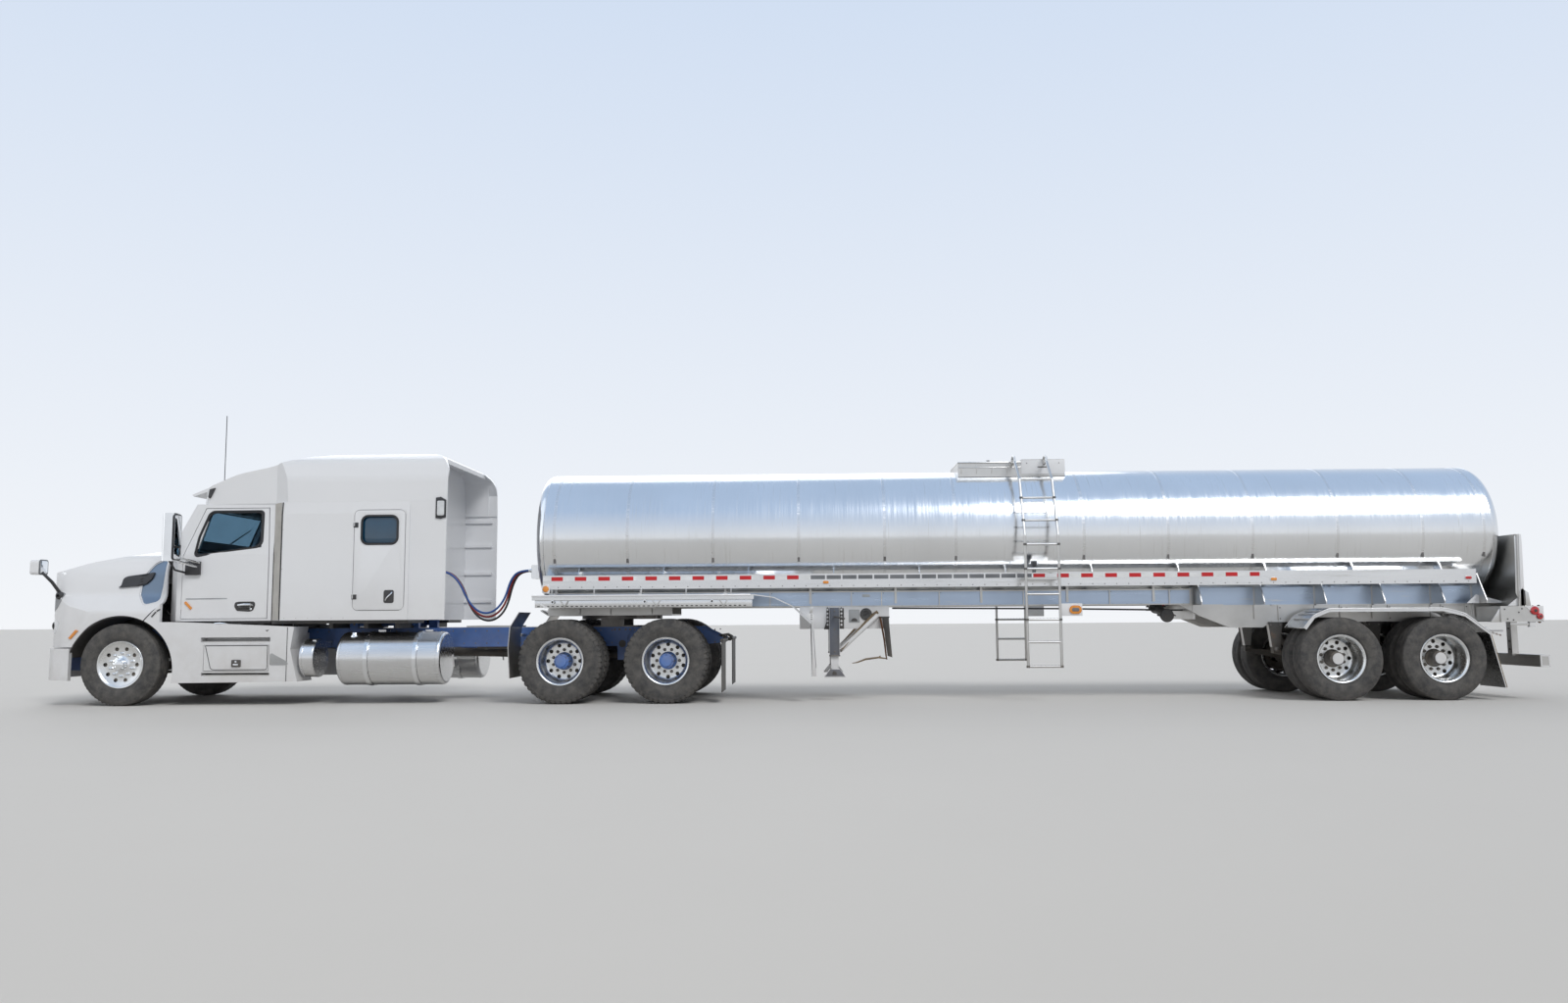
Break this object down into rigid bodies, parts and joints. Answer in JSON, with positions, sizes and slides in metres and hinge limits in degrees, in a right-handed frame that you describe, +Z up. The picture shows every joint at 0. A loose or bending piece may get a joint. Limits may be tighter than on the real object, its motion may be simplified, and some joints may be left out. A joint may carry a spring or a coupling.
{
  "type": "articulated tanker lorry",
  "caption": "Conventional sleeper-cab tractor hinged at its fifth wheel to a polished tank semi-trailer, parked on its wheels with hood, doors and steering that move.",
  "frame": {"origin": "on the road under the middle of the lorry's whole length and width", "axes": "+X rearward along the lorry, +Y to its right-hand side, +Z up"},
  "size_m": [18.9186, 3, 3.753],
  "materials": {
    "white_paint": "gloss white paint",
    "blue_frame": "bright blue chassis paint",
    "dark_frame": "black chassis paint",
    "polished": "mirror polished sheet",
    "aluminium": "brushed aluminium",
    "chrome": "chrome",
    "steel": "greasy steel",
    "iron": "cast iron",
    "grey_paint": "grey paint",
    "black_plastic": "black plastic",
    "dash_plastic": "grain plastic",
    "glass": "tinted safety glass",
    "lamp": "clear lamp lens",
    "tyre": "tyre rubber",
    "fabric": "seat fabric",
    "hose": "rubber hose"
  },
  "bodies": {
    "tractor": {"frame_rails": "blue_frame", "front_axle": "dark_frame", "engine": "iron", "driveline": "dark_frame", "fifth_wheel": "steel", "bumper": "white_paint", "cab_shell": "white_paint", "sleeper_shell": "white_paint", "roof_cap": "white_paint", "windscreen": "glass", "side_extenders": "white_paint", "side_fairings": "white_paint", "fuel_tanks": "aluminium", "quarter_fenders": "aluminium", "flap_hangers": "chrome", "dashboard": "dash_plastic", "seats": "fabric", "antenna": "black_plastic", "air_lines": "hose"},
    "hood": {"hood": "white_paint", "grille": "black_plastic", "headlamps": "lamp", "hood_mirrors": "white_paint"},
    "door_left": {"door_left": "white_paint", "door_glass_left": "glass", "mirror_left": "chrome"},
    "sleeper_door_left": {"sleeper_door_left": "white_paint"},
    "toolbox_door_left": {"toolbox_door_left": "white_paint"},
    "knuckle_left": {"knuckle_left": "iron"},
    "wheel_front_left": {"wheel_front_left": "tyre"},
    "door_right": {"door_right": "white_paint", "door_glass_right": "glass", "mirror_right": "chrome"},
    "sleeper_door_right": {"sleeper_door_right": "white_paint"},
    "toolbox_door_right": {"toolbox_door_right": "white_paint"},
    "knuckle_right": {"knuckle_right": "iron"},
    "wheel_front_right": {"wheel_front_right": "tyre"},
    "tie_rod": {"tie_rod": "dark_frame"},
    "wheel_drive1_left": {"wheel_drive1_left": "tyre"},
    "wheel_drive1_right": {"wheel_drive1_right": "tyre"},
    "wheel_drive2_left": {"wheel_drive2_left": "tyre"},
    "wheel_drive2_right": {"wheel_drive2_right": "tyre"},
    "trailer": {"tank": "polished", "top_deck": "aluminium", "side_rails": "aluminium", "upper_coupler": "aluminium", "belly_frame": "aluminium", "front_fenders": "aluminium", "landing_gear": "grey_paint", "rear_subframe": "aluminium", "trailer_axles": "dark_frame", "rear_fenders": "aluminium", "rear_plate": "aluminium", "ladders": "aluminium", "discharge_pipe": "aluminium"},
    "wheel_trailer1_left": {"wheel_trailer1_left": "tyre"},
    "wheel_trailer1_right": {"wheel_trailer1_right": "tyre"},
    "wheel_trailer2_left": {"wheel_trailer2_left": "tyre"},
    "wheel_trailer2_right": {"wheel_trailer2_right": "tyre"},
    "manhole_lid": {"manhole_lid": "aluminium"}
  },
  "joints": [
    {"name": "hood_tilt", "type": "hinge", "parent": "tractor", "child": "hood", "pos_m": [-9.42, 0, 0.735], "axis": [0, -1, 0], "range_deg": [0, 75]},
    {"name": "door_left_hinge", "type": "hinge", "parent": "tractor", "child": "door_left", "pos_m": [-7.559, -1.06, 1.5], "axis": [0, 0, -1], "range_deg": [0, 65]},
    {"name": "sleeper_door_left_hinge", "type": "hinge", "parent": "tractor", "child": "sleeper_door_left", "pos_m": [-5.298, -1.22, 1.8], "axis": [0, 0, -1], "range_deg": [0, 90]},
    {"name": "toolbox_door_left_hinge", "type": "hinge", "parent": "tractor", "child": "toolbox_door_left", "pos_m": [-6.76, -1.19, 0.759], "axis": [-1, 0, 0], "range_deg": [0, 95]},
    {"name": "steer_left", "type": "hinge", "parent": "tractor", "child": "knuckle_left", "pos_m": [-8.26, -0.9, 0.515], "axis": [0, 0, 1], "range_deg": [-35, 35]},
    {"name": "wheel_front_left_spin", "type": "hinge", "parent": "knuckle_left", "child": "wheel_front_left", "pos_m": [-8.26, -1.04, 0.515], "axis": [0, 1, 0], "continuous": true},
    {"name": "door_right_hinge", "type": "hinge", "parent": "tractor", "child": "door_right", "pos_m": [-7.559, 1.06, 1.5], "axis": [0, 0, 1], "range_deg": [0, 65]},
    {"name": "sleeper_door_right_hinge", "type": "hinge", "parent": "tractor", "child": "sleeper_door_right", "pos_m": [-5.298, 1.22, 1.8], "axis": [0, 0, 1], "range_deg": [0, 90]},
    {"name": "toolbox_door_right_hinge", "type": "hinge", "parent": "tractor", "child": "toolbox_door_right", "pos_m": [-6.76, 1.19, 0.759], "axis": [1, 0, 0], "range_deg": [0, 95]},
    {"name": "steer_right", "type": "hinge", "parent": "tractor", "child": "knuckle_right", "pos_m": [-8.26, 0.9, 0.515], "axis": [0, 0, 1], "range_deg": [-35, 35]},
    {"name": "wheel_front_right_spin", "type": "hinge", "parent": "knuckle_right", "child": "wheel_front_right", "pos_m": [-8.26, 1.04, 0.515], "axis": [0, 1, 0], "continuous": true},
    {"name": "tie_rod_pivot", "type": "hinge", "parent": "knuckle_left", "child": "tie_rod", "pos_m": [-8.09, -0.9, 0.39], "axis": [0, 0, 1], "range_deg": [-35, 35]},
    {"name": "wheel_drive1_left_spin", "type": "hinge", "parent": "tractor", "child": "wheel_drive1_left", "pos_m": [-2.68, -0.907, 0.525], "axis": [0, 1, 0], "continuous": true},
    {"name": "wheel_drive1_right_spin", "type": "hinge", "parent": "tractor", "child": "wheel_drive1_right", "pos_m": [-2.68, 0.907, 0.525], "axis": [0, 1, 0], "continuous": true},
    {"name": "wheel_drive2_left_spin", "type": "hinge", "parent": "tractor", "child": "wheel_drive2_left", "pos_m": [-1.36, -0.907, 0.525], "axis": [0, 1, 0], "continuous": true},
    {"name": "wheel_drive2_right_spin", "type": "hinge", "parent": "tractor", "child": "wheel_drive2_right", "pos_m": [-1.36, 0.907, 0.525], "axis": [0, 1, 0], "continuous": true},
    {"name": "fifth_wheel_turn", "type": "hinge", "parent": "tractor", "child": "trailer", "pos_m": [-2.16, 0, 1.094], "axis": [0, 0, 1], "range_deg": [-90, 90], "deforming": ["air_lines"]},
    {"name": "wheel_trailer1_left_spin", "type": "hinge", "parent": "trailer", "child": "wheel_trailer1_left", "pos_m": [6.93, -0.907, 0.507], "axis": [0, 1, 0], "continuous": true},
    {"name": "wheel_trailer1_right_spin", "type": "hinge", "parent": "trailer", "child": "wheel_trailer1_right", "pos_m": [6.93, 0.907, 0.507], "axis": [0, 1, 0], "continuous": true},
    {"name": "wheel_trailer2_left_spin", "type": "hinge", "parent": "trailer", "child": "wheel_trailer2_left", "pos_m": [8.175, -0.907, 0.507], "axis": [0, 1, 0], "continuous": true},
    {"name": "wheel_trailer2_right_spin", "type": "hinge", "parent": "trailer", "child": "wheel_trailer2_right", "pos_m": [8.175, 0.907, 0.507], "axis": [0, 1, 0], "continuous": true},
    {"name": "manhole_lid_hinge", "type": "hinge", "parent": "trailer", "child": "manhole_lid", "pos_m": [3.12, 0, 3.072], "axis": [0, 1, 0], "range_deg": [0, 100]}
  ],
  "couplings": [
    {"joint": "steer_right", "follows": "steer_left", "ratio": 1},
    {"joint": "tie_rod_pivot", "follows": "steer_left", "ratio": -1}
  ]
}
